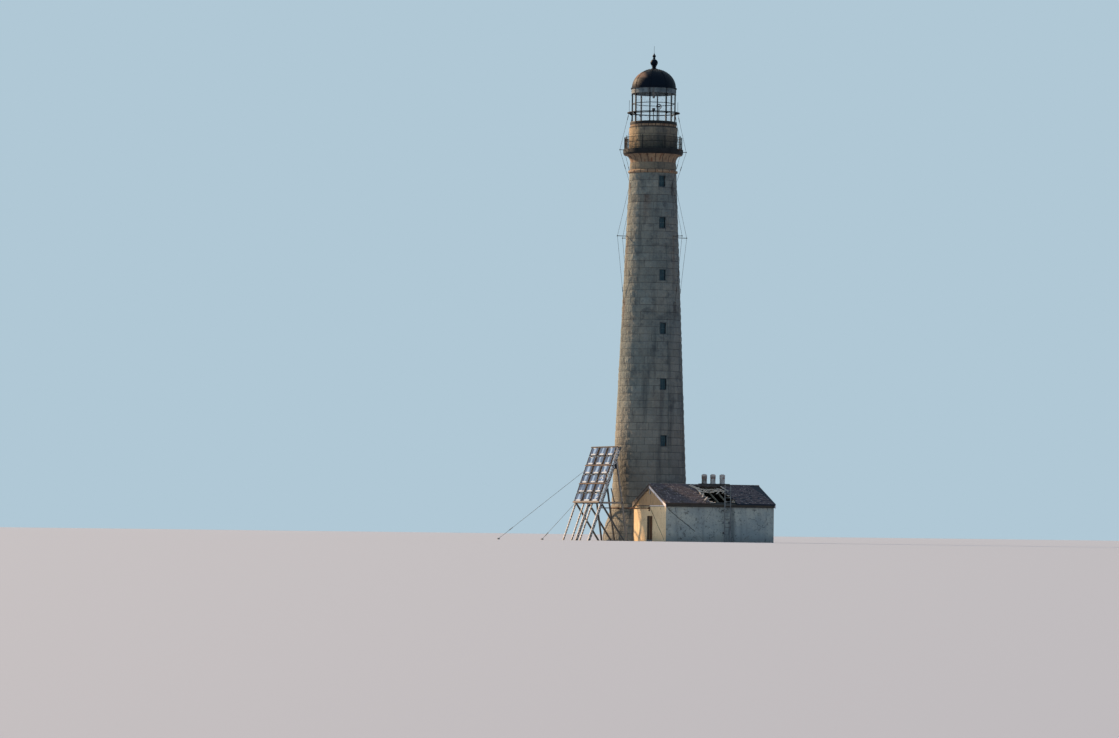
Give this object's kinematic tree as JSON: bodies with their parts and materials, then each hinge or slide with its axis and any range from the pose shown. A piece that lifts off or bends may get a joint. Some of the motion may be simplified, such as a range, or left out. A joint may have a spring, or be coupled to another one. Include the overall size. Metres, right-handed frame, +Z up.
{
  "type": "lighthouse, half-size scale model",
  "caption": "Tall tapering stone lighthouse with gallery, glazed lantern and dome, a gabled service house at its foot and a leaning solar panel rack; half-size model.",
  "frame": {"origin": "centre of the underside of the tower's floor, on the tower's axis at the ground", "axes": "+Z up the tower; -Y is the way its front windows and the house's long wall face; X runs along the house, and the panel rack stands on the -X side"},
  "size_m": [10.04, 6.7298, 20.555],
  "materials": {
    "granite": null,
    "pale_granite": null,
    "floor_concrete": null,
    "black_iron": "worn black paint with rust",
    "clear_glass": "clear, a little dirty",
    "stucco": null,
    "shingle": "worn brown shingles",
    "weathered_wood": "bare weathered boards",
    "white_paint": "chalky white paint",
    "brown_wood": "weathered brown boards",
    "galvanised_steel": "dull galvanised, rust spots",
    "solar_cell": "glossy blue cells"
  },
  "bodies": {
    "lighthouse": {"tower_floor": "granite", "base_wall": "granite", "base_doorway": "granite", "shaft_front": "granite", "shaft_right": "granite", "shaft_back": "granite", "shaft_left": "granite", "window_frames": "black_iron", "window_glass": "clear_glass", "gallery_corbel": "pale_granite", "gallery_deck": "black_iron", "watch_room_wall": "pale_granite", "gallery_door": "black_iron", "gallery_railing": "black_iron", "gallery_posts": "black_iron", "lantern_sill": "pale_granite", "lantern_floor": "black_iron", "lantern_posts": "black_iron", "lantern_bars": "black_iron", "lantern_glass": "clear_glass", "lantern_frieze": "black_iron", "lantern_walkway": "black_iron", "dome": "black_iron", "ventilator_ball": "black_iron", "vent_pipe": "galvanised_steel", "beacon": "black_iron", "spare_lamp": "black_iron", "stay_outriggers": "black_iron", "stay_wires": "black_iron", "lightning_conductor": "black_iron", "door_wall_back": "stucco", "door_wall_front": "stucco", "door_wall_over": "stucco", "house_front_wall": "stucco", "house_end_wall": "stucco", "house_back_wall_left": "stucco", "house_back_wall_right": "stucco", "house_floor": "floor_concrete", "gable_boards": "weathered_wood", "roof_front_left": "shingle", "roof_front_right": "shingle", "roof_ridge_strip": "shingle", "roof_back": "shingle", "roof_timbers": "weathered_wood", "eave_boxes": "weathered_wood", "bargeboards": "white_paint", "vent_curb": "weathered_wood", "vent_stacks": "galvanised_steel", "wall_ladder": "galvanised_steel", "gable_vents": "white_paint", "door_frame": "white_paint", "cable_conduit": "black_iron", "rack_frames": "galvanised_steel", "rack_mid_legs": "galvanised_steel", "rack_rails": "weathered_wood", "rack_stringers": "galvanised_steel", "solar_panels": "solar_cell", "rack_guys": "galvanised_steel"},
    "house_door": {"door_leaf": "brown_wood", "door_furniture": "black_iron"}
  },
  "joints": [
    {"name": "house_door_hinge", "type": "hinge", "parent": "lighthouse", "child": "house_door", "pos_m": [-1.118, -3.3177, 0.5], "axis": [0, 0, -1], "range_deg": [0, 100]}
  ]
}
